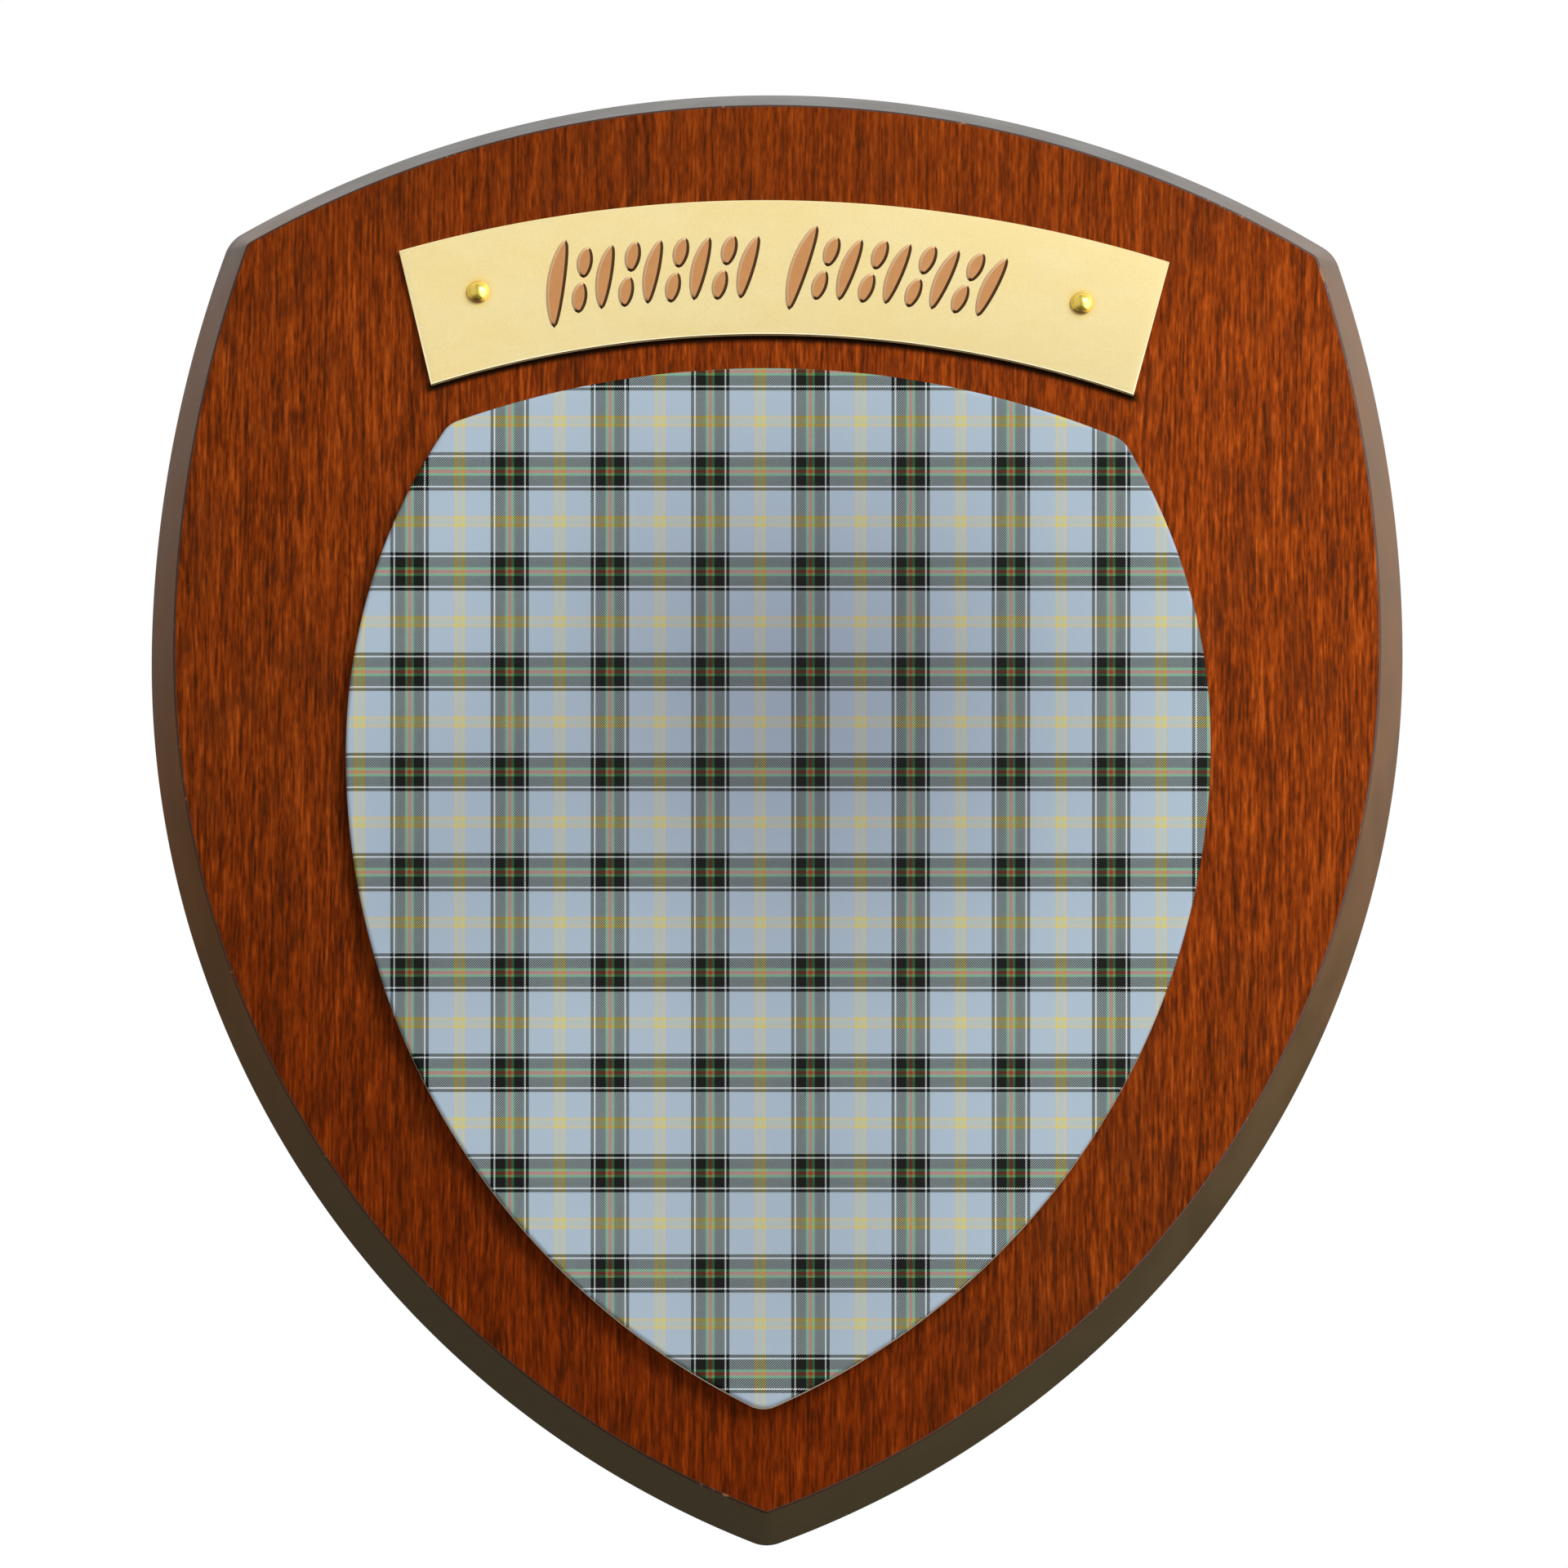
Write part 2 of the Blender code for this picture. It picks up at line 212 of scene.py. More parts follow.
class Shield:
    """A heater shield: one arc across the top and two arcs down each side, rounded where they meet."""

    TOP_STEPS, CORNER_STEPS, UPPER_STEPS, LOWER_STEPS, TIP_STEPS = 60, 12, 40, 90, 8
    LEAST_ROUNDING = 0.15

    def __init__(self, width, apex_z, corner_x, corner_z, widest_z, tip_z, rounding):
        half = width / 2
        self.rounding = rounding
        self.top_radius = arc_radius(corner_x, apex_z - corner_z)
        self.upper_radius = arc_radius(corner_z - widest_z, half - corner_x)
        self.lower_radius = arc_radius(widest_z - tip_z, half)
        self.top_centre = (0.0, apex_z - self.top_radius)
        self.upper_centre = (half - self.upper_radius, widest_z)
        self.lower_centre = (half - self.lower_radius, widest_z)

    def outline(self, inset=0.0):
        """The outline this far inside the shield's own, from the apex round by the right."""
        rounding = max(self.rounding - inset, self.LEAST_ROUNDING)
        reach = inset + rounding
        top, upper, lower = self.top_centre, self.upper_centre, self.lower_centre
        corner = circles_meet(top, self.top_radius - reach, upper, self.upper_radius - reach)
        tip_drop = math.sqrt((self.lower_radius - reach) ** 2 - lower[0] ** 2)
        tip = (0.0, lower[1] - tip_drop)
        over, beside, under = angle_from(top, corner), angle_from(upper, corner), angle_from(lower, tip)
        half = arc(top, self.top_radius - inset, math.pi / 2, over, self.TOP_STEPS)
        half += arc(corner, rounding, over, beside, self.CORNER_STEPS)
        half += arc(upper, self.upper_radius - inset, beside, 0.0, self.UPPER_STEPS)
        half += arc(lower, self.lower_radius - inset, 0.0, under, self.LOWER_STEPS)
        half += arc(tip, rounding, under, -math.pi / 2, self.TIP_STEPS)
        lowest = (0.0, tip[1] - rounding)
        return half + [lowest] + [(-x, z) for x, z in reversed(half[1:])]


def curve_point(start, control, end, t):
    """A point on the curve that leaves start towards control and comes into end from it."""
    return start * (1 - t) ** 2 + control * 2 * t * (1 - t) + end * t**2


def inset_outline(outline, distance):
    """A closed outline drawn in by this distance, with mitred corners."""
    points = [Vector(point) for point in outline]
    area = sum(a.x * b.y - b.x * a.y for a, b in zip(points, points[1:] + points[:1]))
    turn = 1.0 if area > 0 else -1.0
    drawn = []
    for i, point in enumerate(points):
        before = (point - points[i - 1]).normalized()
        after = (points[(i + 1) % len(points)] - point).normalized()
        normals = [Vector((-run.y, run.x)) * turn for run in (before, after)]
        middle = (normals[0] + normals[1]).normalized()
        drawn.append(point + middle * distance / max(middle.dot(normals[0]), LEAST_MITRE))
    return [tuple(point) for point in drawn]


def loft(rings, bands, caps, target=None):
    """Joins rings of (x, y, z) millimetre points into a closed bmesh, capped at both ends.

    bands gives a material number for each strip between two rings, and caps for the first and the last cap.
    """
    bm = target or bmesh.new()
    loops = [[bm.verts.new(Vector(point) * MM) for point in ring] for ring in rings]
    for lower, upper, band in zip(loops, loops[1:], bands):
        for i in range(len(lower)):
            j = (i + 1) % len(lower)
            face = bm.faces.new((lower[i], lower[j], upper[j], upper[i]))
            face.material_index = band
            face.smooth = True
    for loop, cap in zip((loops[0][::-1], loops[-1]), caps):
        face = bm.faces.new(loop)
        face.material_index = cap
    return bm


def new_object(name, bm, materials):
    bmesh.ops.recalc_face_normals(bm, faces=bm.faces)
    mesh = bpy.data.meshes.new(name)
    bm.to_mesh(mesh)
    bm.free()
    mesh.set_sharp_from_angle(angle=math.radians(SHARP_DEG))
    for material in materials:
        mesh.materials.append(material)
    item = bpy.data.objects.new(name, mesh)
    bpy.context.scene.collection.objects.link(item)
    return item


def prism(name, outline, y_back, y_front, material):
    rings = [at_depth(outline, y_back), at_depth(outline, y_front)]
    return new_object(name, loft(rings, (0,), (0, 0)), [material])


def cut_all(item, cutters):
    """Takes the cutters out of the item, leaves their material in the cuts and removes them."""
    for cutter in cutters:
        modifier = item.modifiers.new(cutter.name, "BOOLEAN")
        modifier.operation = "DIFFERENCE"
        modifier.solver = "EXACT"
        modifier.material_mode = "TRANSFER"
        modifier.object = cutter
    solid = item.evaluated_get(bpy.context.evaluated_depsgraph_get())
    mesh = bpy.data.meshes.new_from_object(solid)
    item.modifiers.clear()
    item.data = mesh
    for face in mesh.polygons:
        face.use_smooth = face.use_smooth and abs(face.normal.y) < FLAT_NORMAL
    mesh.set_sharp_from_angle(angle=math.radians(SHARP_DEG))
    for cutter in cutters:
        bpy.data.objects.remove(cutter, do_unlink=True)


def stand_for(item, node):
    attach(item, BODY)
    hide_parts(node)
    return item


# Shader graphs


def seen(red, green, blue):
    """An 8-bit sRGB colour as linear light, with alpha."""
    linear = []
    for level in (red, green, blue):
        share = level / 255
        linear.append(share / 12.92 if share <= 0.04045 else ((share + 0.055) / 1.055) ** 2.4)
    return (*linear, 1.0)


class Graph:
    """Adds shader nodes to a tree and joins them. A value is a number, a tuple or another node's output."""

    # A Mix node's sockets by the kind of its values: the share, the two values and the result
    MIX_SOCKETS = {"RGBA": (0, 6, 7, 2), "FLOAT": (0, 2, 3, 0)}

    def __init__(self, tree):
        self.tree = tree

    def add(self, kind, inputs=None, **settings):
        node = self.tree.nodes.new(kind)
        for name, value in settings.items():
            setattr(node, name, value)
        for name, value in (inputs or {}).items():
            self.feed(node.inputs[name], value)
        return node

    def feed(self, socket, value):
        if isinstance(value, bpy.types.NodeSocket):
            self.tree.links.new(value, socket)
        else:
            socket.default_value = value

    def math(self, operation, *values, clamp=False):
        node = self.add("ShaderNodeMath", operation=operation, use_clamp=clamp)
        for socket, value in zip(node.inputs, values):
            self.feed(socket, value)
        return node.outputs[0]

    def total(self, *values):
        result = values[0]
        for value in values[1:]:
            result = self.math("ADD", result, value)
        return result

    def split(self, vector):
        return self.add("ShaderNodeSeparateXYZ", {"Vector": vector}).outputs[:3]

    def join(self, x, y, z):
        return self.add("ShaderNodeCombineXYZ", {"X": x, "Y": y, "Z": z}).outputs[0]

    def length(self, aside, above):
        """The length of the line that runs this far aside and this far up."""
        squares = [self.math("MULTIPLY", run, run) for run in (aside, above)]
        return self.math("SQRT", self.total(*squares))

    def distance(self, x, z, middle):
        """How far the place (x, z) lies from another."""
        return self.length(self.math("SUBTRACT", x, middle[0]), self.math("SUBTRACT", z, middle[1]))

    def stretched(self, vector, x, y, z):
        """The vector with each axis divided by a length."""
        node = self.add("ShaderNodeVectorMath", operation="DIVIDE")
        self.feed(node.inputs[0], vector)
        self.feed(node.inputs[1], (x, y, z))
        return node.outputs[0]

    def millimetres(self):
        """The place on the plaque in millimetres."""
        place = self.add("ShaderNodeTexCoord").outputs["Object"]
        return self.stretched(place, MM, MM, MM)

    def noise(self, place, size, detail=2.0, roughness=0.5):
        """Soft noise from 0 to 1, whose waves have this size in millimetres along each axis."""
        vector = self.stretched(place, *size)
        inputs = {"Vector": vector, "Scale": 1.0, "Detail": detail, "Roughness": roughness}
        return self.add("ShaderNodeTexNoise", inputs).outputs["Fac"]

    def facing(self):
        """The x, y and z of the direction that the surface faces."""
        return self.split(self.add("ShaderNodeNewGeometry").outputs["Normal"])

    def swing(self, value, amount):
        """Turns a 0 to 1 value into one that swings about zero by this amount each way."""
        return self.math("MULTIPLY_ADD", value, 2 * amount, -amount)

    def remap(self, value, low, high, low_out=0.0, high_out=1.0, smooth=True):
        inputs = {"Value": value, "From Min": low, "From Max": high, "To Min": low_out, "To Max": high_out}
        kind = "SMOOTHSTEP" if smooth else "LINEAR"
        return self.add("ShaderNodeMapRange", inputs, interpolation_type=kind).outputs["Result"]

    def ramp(self, value, stops, constant=False):
        node = self.add("ShaderNodeValToRGB", {"Fac": value})
        band = node.color_ramp
        band.interpolation = "CONSTANT" if constant else "LINEAR"
        while len(band.elements) < len(stops):
            band.elements.new(1.0)
        for element, (place, colour) in zip(band.elements, stops):
            element.position = place
            element.color = colour
        return node.outputs["Color"]

    def between(self, kind, values, blend_type="MIX"):
        """Mixes by a share, the first of the values, between the other two, which are of this kind."""
        node = self.add("ShaderNodeMix", data_type=kind, blend_type=blend_type)
        *places, result = self.MIX_SOCKETS[kind]
        for place, value in zip(places, values):
            self.feed(node.inputs[place], value)
        return node.outputs[result]

    def mix(self, share, first, second, blend_type="MIX"):
        """A colour between two colours, or the two blended in another way."""
        return self.between("RGBA", (share, first, second), blend_type)

    def blend(self, share, first, second):
        """A number between two numbers."""
        return self.between("FLOAT", (share, first, second))

    def lightness(self, colour):
        return self.add("ShaderNodeRGBToBW", {"Color": colour}).outputs[0]

    def brighten(self, colour, factor):
        """The colour times a factor, which may be above one."""
        node = self.add("ShaderNodeVectorMath", operation="SCALE")
        self.feed(node.inputs["Vector"], colour)
        self.feed(node.inputs["Scale"], factor)
        return node.outputs[0]

    def bump(self, height, strength, depth_mm):
        inputs = {"Height": height, "Strength": strength, "Distance": depth_mm * MM}
        return self.add("ShaderNodeBump", inputs).outputs["Normal"]


def new_material(name):
    """A new material, the graph of its nodes, and the place on the plaque in millimetres."""
    material = bpy.data.materials.new(name)
    material.use_nodes = True
    graph = Graph(material.node_tree)
    return material, graph, graph.millimetres()


def set_shader(material, **values):
    """Sets the Principled shader's sockets, named in lower case with underscores."""
    shader = material.node_tree.nodes["Principled BSDF"]
    graph = Graph(material.node_tree)
    for socket in shader.inputs:
        key = socket.name.lower().replace(" ", "_")
        if key in values:
            graph.feed(socket, values.pop(key))
    if values:
        raise ValueError(f"no shader socket is named {sorted(values)}")


# Materials


# The lacquer has taken some of the stain's colour, which also tints what it reflects
WARM_LACQUER = (1.0, 0.5, 0.2, 1.0)

# Painted shadow on the wood along the nameplate's lower and upper edges: how far from the edge it is
# darkest, how far it reaches, and what it leaves of the wood's colour where it is darkest
PLATE_SHADOW_BELOW = (0.28, 1.15, 0.03)
PLATE_SHADOW_ABOVE = (0.0, 0.30, 0.30)

# What the painted shade, darker and redder towards the lower left, leaves of the wood's colour there
LOWER_LEFT_SHADE = (0.94, 0.76, 0.45, 1.0)

# The wood's colour by its place in the figure, from its darkest streaks to its palest
WOOD_TONES = (
    (0.10, (62, 24, 7)),
    (0.30, (90, 33, 6)),
    (0.50, (119, 46, 7)),
    (0.70, (143, 60, 12)),
    (0.90, (168, 76, 21)),
)


def mahogany_tone(graph, place):
    """The stained wood's colour, and how much each point lies in a pore, from 0 to 1."""
    x, y, z = graph.split(place)
    drift = graph.noise(place, (30.0, 60.0, 90.0), 1.0)
    wander = graph.noise(place, (6.0, 12.0, 24.0), 1.0)
    bent_x = graph.total(x, graph.swing(drift, 1.8), graph.swing(wander, 0.25))
    grain = graph.join(bent_x, y, z)

    bands = graph.noise(grain, (1.4, 20.0, 30.0), 2.0)
    lines = graph.noise(grain, (0.50, 9.0, 42.0), 2.0, 0.6)
    streaks = graph.noise(grain, (0.66, 9.0, 11.0), 2.0, 0.6)
    fibres = graph.noise(grain, (0.36, 3.0, 4.6), 2.0, 0.55)
    flecks = graph.noise(grain, (0.34, 2.0, 1.6), 1.0)
    blotches = graph.noise(grain, (4.5, 20.0, 8.5), 3.0, 0.6)

    high_up = graph.remap(z, 58.0, 84.0)
    figure = graph.total(
        graph.swing(bands, 0.11),
        graph.math("MULTIPLY", graph.swing(lines, 0.41), graph.remap(high_up, 0.0, 1.0, 0.3, 1.0)),
        graph.math("MULTIPLY", graph.swing(streaks, 0.42), graph.remap(high_up, 0.0, 1.0, 1.0, 0.5)),
        graph.math("MULTIPLY", graph.swing(fibres, 0.58), graph.remap(high_up, 0.0, 1.0, 1.0, 0.7)),
        graph.swing(flecks, 0.31),
    )
    calmer_low_down = graph.remap(z, -95.0, -45.0, 0.90, 1.0)
    level = graph.math("MULTIPLY_ADD", figure, calmer_low_down, 0.5)
    tone = graph.ramp(level, [(stop, seen(*colour)) for stop, colour in WOOD_TONES])
    tone = graph.mix(graph.remap(blotches, 0.50, 0.70, 0.0, 0.36), tone, seen(72, 30, 11))
    pore = graph.remap(flecks, 0.66, 0.42)
    return tone, pore


def board_light(graph, x, z):
    """Painted light: the wood brighter towards the upper right, where the light falls, darker at the top
    and the foot.
    """
    slant = graph.total(0.955, graph.math("MULTIPLY", x, 0.0024), graph.math("MULTIPLY", z, 0.0017))
    top = graph.remap(z, 66.0, 92.0, 1.0, 0.80)
    foot = graph.remap(z, 0.0, -60.0, 1.0, 0.91)
    return graph.math("MULTIPLY", slant, graph.math("MULTIPLY", top, foot))


def plate_painted_shadow(graph, x, z):
    """What the painted shadow along the nameplate's lower and upper edges leaves of the wood's colour."""
    below = plate_place(0.0, -PLATE_HEIGHT / 2 - PLATE_BOTTOM_RADIUS)
    above = plate_place(0.0, PLATE_HEIGHT / 2 - PLATE_TOP_RADIUS)
    edges = (
        (below, PLATE_BOTTOM_RADIUS, PLATE_BOTTOM_HALF_WIDTH, PLATE_SHADOW_BELOW),
        (above, PLATE_TOP_RADIUS, PLATE_TOP_HALF_WIDTH, PLATE_SHADOW_ABOVE),
    )
    aside = graph.math("ABSOLUTE", graph.math("SUBTRACT", x, PLATE_CENTRE_X))
    left_over = 1.0
    for middle, radius, half_width, (full_to, ends_at, darkest) in edges:
        away = graph.math("ABSOLUTE", graph.math("SUBTRACT", graph.distance(x, z, middle), radius))
        painted_shadow = graph.remap(away, full_to, ends_at, darkest, 1.0)
        beyond = graph.remap(aside, half_width, half_width + ends_at)
        left_over = graph.math("MULTIPLY", left_over, graph.blend(beyond, painted_shadow, 1.0))
    return left_over


def mahogany_face():
    material, graph, place = new_material("mahogany_face")
    tone, pore = mahogany_tone(graph, place)
    x, _, z = graph.split(place)
    # Painted light over the board, times the painted shadow along the nameplate's edges
    light = graph.math("MULTIPLY", board_light(graph, x, z), plate_painted_shadow(graph, x, z))
    tone = graph.brighten(tone, light)
    # Painted shade: the wood darker and redder towards the lower left
    low = graph.math("MULTIPLY_ADD", x, 0.6, z)
    tone = graph.mix(graph.remap(low, -30.0, -90.0), tone, graph.mix(1.0, tone, LOWER_LEFT_SHADE, "MULTIPLY"))
    haze = graph.noise(place, (3.0, 3.0, 9.0), 2.0)
    height = graph.math("SUBTRACT", 1.0, pore)
    set_shader(
        material,
        base_color=tone,
        roughness=graph.remap(haze, 0.3, 0.7, 0.34, 0.42),
        specular_ior_level=0.12,
        specular_tint=WARM_LACQUER,
        normal=graph.bump(height, 0.35, 0.02),
    )
    return material


def stained_edge():
    """The smooth dark edge, where the stain lies thick over close end grain."""
    material, graph, place = new_material("stained_edge")
    cloud = graph.noise(place, (9.0, 9.0, 9.0), 2.0)
    speck = graph.noise(place, (0.5, 0.5, 0.9), 2.0)
    x, _, z = graph.split(place)
    clouded = graph.remap(cloud, 0.35, 0.65)
    # Painted light: each side has its own tone, greyer at the top as a painted reflection of the bright
    # room, darker towards the bottom as painted shade, and more orange on the left than on the right
    right = graph.mix(clouded, seen(106, 72, 36), seen(115, 78, 42))
    left = graph.mix(clouded, seen(112, 67, 14), seen(120, 72, 18))
    warm = graph.mix(graph.remap(x, 0.0, -70.0), right, left)
    warm = graph.mix(graph.remap(z, 10.0, -75.0), warm, seen(80, 66, 36))
    tone = graph.mix(graph.remap(z, 66.0, 92.0), warm, seen(66, 60, 53))
    set_shader(
        material,
        base_color=graph.mix(graph.remap(speck, 0.55, 0.8, 0.0, 0.25), tone, seen(40, 28, 18)),
        roughness=graph.remap(cloud, 0.3, 0.7, 0.36, 0.44),
        specular_ior_level=0.5,
        normal=graph.bump(speck, 0.12, 0.03),
    )
    return material


def worn_arris():
    """The narrow rounding before the face, dark with stain and rubbed pale in small spots."""
    material, graph, place = new_material("worn_arris")
    spots = graph.noise(place, (0.9, 0.9, 1.4), 2.0)
    patchy = graph.noise(place, (14.0, 14.0, 14.0), 2.0)
    rubbed_and_highlit = graph.remap(graph.total(spots, graph.swing(patchy, 0.5)), 0.72, 0.84, 0.0, 0.8)
    set_shader(
        material,
        base_color=graph.mix(rubbed_and_highlit, seen(62, 32, 15), seen(150, 104, 72)),
        roughness=graph.remap(spots, 0.3, 0.7, 0.36, 0.48),
        specular_ior_level=0.3,
        normal=graph.bump(spots, 0.2, 0.03),
    )
    return material


def plain_back():
    """The back: the same wood with one thin coat of stain and no lacquer."""
    material, graph, place = new_material("plain_back")
    tone, pore = mahogany_tone(graph, place)
    dry = graph.mix(0.55, tone, seen(112, 72, 46))
    set_shader(
        material,
        base_color=dry,
        roughness=0.72,
        specular_ior_level=0.25,
        normal=graph.bump(graph.math("SUBTRACT", 1.0, pore), 0.6, 0.05),
    )
    return material


def routed_wood():
    """Bare wood inside the routed slot and the drilled holes, with the cutter's fine rings."""
    material, graph, place = new_material("routed_wood")
    fibre = graph.noise(place, (0.5, 0.5, 4.0), 3.0)
    set_shader(
        material,
        base_color=graph.mix(fibre, seen(150, 104, 70), seen(184, 138, 98)),
        roughness=0.8,
        specular_ior_level=0.2,
        normal=graph.bump(fibre, 0.5, 0.05),
    )
    return material


# The threads' colours, then each colour's width in the half sett, in threads, from the middle of the red
# line to the middle of the yellow pair
SETT_RED = (170, 78, 50)
SETT_GREEN = (84, 160, 96)
SETT_BLACK = (22, 21, 17)
SETT_LINE_BLACK = (6, 6, 6)
SETT_WHITE = (238, 240, 240)
SETT_BLUE = (175, 192, 207)
SETT_YELLOW = (224, 200, 106)
SETT_GREY = (196, 200, 164)
HALF_SETT = (
    (2.1, SETT_RED),
    (3.1, SETT_GREEN),
    (12.25, SETT_BLACK),
    (2.0, SETT_WHITE),
    (3.7, SETT_LINE_BLACK),
    (31.1, SETT_BLUE),
    (3.5, SETT_YELLOW),
    (3.2, SETT_GREY),
)

# How far the sett repeats across and up the cloth, where the middle of a red line lies each way, and how
# far the cloth is turned on the shield
WARP_REPEAT = 13.86
WEFT_REPEAT = 13.91
WARP_RED_U = 4.86
WEFT_RED_V = 3.94
CLOTH_TURN_DEG = 0.7

# The cloth was stretched as it was bonded, so its threads lie closer together further down. Upright threads
# are closer by this factor at z = 0, and by this much more for each millimetre down
CLOTH_NARROWED = 1.0061
CLOTH_NARROWING = 0.0000893

# Level threads lie higher by this much times their squared distance from a height, and lower by a drop
CLOTH_RISE = 0.000083
CLOTH_RISE_Z = 5.0
CLOTH_DROP = 0.128

# The twill's three crossings follow one another as it climbs: this much of the weft shows at the first and
# at the second, and this much of the darker thread at the third
TWILL_STEPS = 3
WEFT_UNDER = 0.04
WEFT_OVER = 0.96
DARKER_SHOWS = 0.85

# What a deep, a light and a white thread's colour is multiplied by where it lies over a dark thread, and
# how much of that is left over the threads of the fine black lines
DEEP_OVER_DARK = (0.50, 0.56, 0.62, 1.0)
LIGHT_OVER_DARK = (1.02, 1.01, 0.88, 1.0)
WHITE_OVER_DARK = (1.05, 1.10, 1.10, 1.0)
OVER_FINE_LINE = 0.82

# The bonded face lets this share of the cloth's colour through, and less in soft patches of painted shade.
# Each patch has its middle's x and z, its half width and half height at half strength, and its strength
FACE_GLOSS = 0.885
PAINTED_SHADE_PATCHES = (
    (4.0, 14.0, 30.0, 29.0, 1.0),
    (4.0, -52.0, 17.0, 28.0, 0.30),
    (-46.0, -8.0, 13.0, 20.0, 0.36),
)
PAINTED_SHADE_TINT = (0.645, 0.625, 0.655, 1.0)


def sett_colour(graph, across, red_at, repeat, threads):
    """The sett's colour at this distance across the cloth, the thread's number there and the pitch."""
    pitch = repeat / (2 * threads)
    count = graph.math("DIVIDE", graph.math("SUBTRACT", across, red_at), pitch)
    folded = graph.math("DIVIDE", graph.math("PINGPONG", count, threads), threads)
    stops, passed = [], 0.0
    for width, colour in HALF_SETT:
        stops.append((passed / threads, seen(*colour)))
        passed += width
    return graph.ramp(folded, stops, constant=True), graph.math("FLOOR", count), pitch


def thread_over(graph, top, top_light, under_light):
    """The top thread's colour, altered where the thread under it is dark."""
    factor = graph.mix(graph.remap(top_light, 0.30, 0.50), DEEP_OVER_DARK, LIGHT_OVER_DARK)
    factor = graph.mix(graph.remap(top_light, 0.60, 0.80), factor, WHITE_OVER_DARK)
    factor = graph.brighten(factor, graph.remap(under_light, 0.002, 0.005, OVER_FINE_LINE, 1.0))
    altered = graph.mix(1.0, top, factor, "MULTIPLY")
    return graph.mix(graph.remap(under_light, 0.04, 0.42, 1.0, 0.0), top, altered)


def painted_shade_patches(graph, x, z):
    """What the soft patches of painted shade leave of the cloth's colour at each place."""
    shade_share = 0.0
    for middle_x, middle_z, half_width, half_height, strength in PAINTED_SHADE_PATCHES:
        aside = graph.math("DIVIDE", graph.math("SUBTRACT", x, middle_x), half_width)
        above = graph.math("DIVIDE", graph.math("SUBTRACT", z, middle_z), half_height)
        shade_share = graph.math("ADD", shade_share, graph.remap(graph.length(aside, above), 0.0, 2.0, strength, 0.0))
    return graph.mix(shade_share, (1.0, 1.0, 1.0, 1.0), PAINTED_SHADE_TINT)


def cloth_place(graph, x, z):
    """Distances across and up the turned and stretched cloth."""
    turn = math.radians(CLOTH_TURN_DEG)
    u = graph.total(graph.math("MULTIPLY", x, math.cos(turn)), graph.math("MULTIPLY", z, math.sin(turn)))
    v = graph.total(graph.math("MULTIPLY", z, math.cos(turn)), graph.math("MULTIPLY", x, -math.sin(turn)))
    u = graph.math("MULTIPLY", u, graph.math("MULTIPLY_ADD", z, -CLOTH_NARROWING, CLOTH_NARROWED))
    off = graph.math("SUBTRACT", z, CLOTH_RISE_Z)
    rise = graph.math("MULTIPLY", graph.math("MULTIPLY", off, off), CLOTH_RISE)
    return u, graph.math("SUBTRACT", graph.math("ADD", v, CLOTH_DROP), rise)


def twill_weft_share(graph, warp_number, weft_number, darker_weft):
    """How much of the weft shows where two threads cross, given their numbers and if the weft is darker."""
    step = graph.math("FLOORED_MODULO", graph.math("SUBTRACT", warp_number, weft_number), TWILL_STEPS)
    first_two = graph.blend(graph.math("GREATER_THAN", step, 0.5), WEFT_UNDER, WEFT_OVER)
    third = graph.blend(darker_weft, 1.0 - DARKER_SHOWS, DARKER_SHOWS)
    return graph.blend(graph.math("GREATER_THAN", step, 1.5), first_two, third)


def tartan_cloth():
    material, graph, place = new_material("tartan_cloth")
    x, _, z = graph.split(place)
    u, v = cloth_place(graph, x, z)
    threads = sum(width for width, _ in HALF_SETT)
    warp, warp_number, warp_pitch = sett_colour(graph, u, WARP_RED_U, WARP_REPEAT, threads)
    weft, weft_number, weft_pitch = sett_colour(graph, v, WEFT_RED_V, WEFT_REPEAT, threads)
    warp_light, weft_light = graph.lightness(warp), graph.lightness(weft)
    darker_weft = graph.math("LESS_THAN", weft_light, warp_light)
    weft_share = twill_weft_share(graph, warp_number, weft_number, darker_weft)
    warp_above = thread_over(graph, warp, warp_light, weft_light)
    weft_above = thread_over(graph, weft, weft_light, warp_light)
    colour = graph.mix(weft_share, warp_above, weft_above)
    # The cloth's colour, with soft patches of painted shade
    colour = graph.mix(1.0, colour, graph.brighten(painted_shade_patches(graph, x, z), FACE_GLOSS), "MULTIPLY")

    lint = graph.noise(place, (0.17, 0.17, 0.17), 2.0, 0.7)
    raised_weft = graph.math("MULTIPLY_ADD", weft_share, 0.05, 0.975)
    colour = graph.brighten(colour, graph.math("ADD", raised_weft, graph.swing(lint, 0.10)))

    warp_round = graph.math("ABSOLUTE", graph.math("SINE", graph.math("MULTIPLY", u, math.pi / warp_pitch)))
    weft_round = graph.math("ABSOLUTE", graph.math("SINE", graph.math("MULTIPLY", v, math.pi / weft_pitch)))
    weave = graph.blend(weft_share, warp_round, weft_round)
    set_shader(
        material,
        base_color=colour,
        roughness=graph.remap(lint, 0.3, 0.7, 0.55, 0.7),
        specular_ior_level=0.10,
        normal=graph.bump(weave, 0.10, 0.02),
    )
    return material


def cream_core():
    """The thin board's bare side, pale and a little soiled."""
    material, graph, place = new_material("cream_core")
    soil = graph.noise(place, (2.0, 0.6, 2.0), 3.0, 0.6)
    set_shader(
        material,
        base_color=graph.mix(graph.remap(soil, 0.35, 0.75), seen(226, 220, 200), seen(198, 188, 164)),
        roughness=0.7,
        specular_ior_level=0.2,
        normal=graph.bump(soil, 0.3, 0.04),
    )
    return material


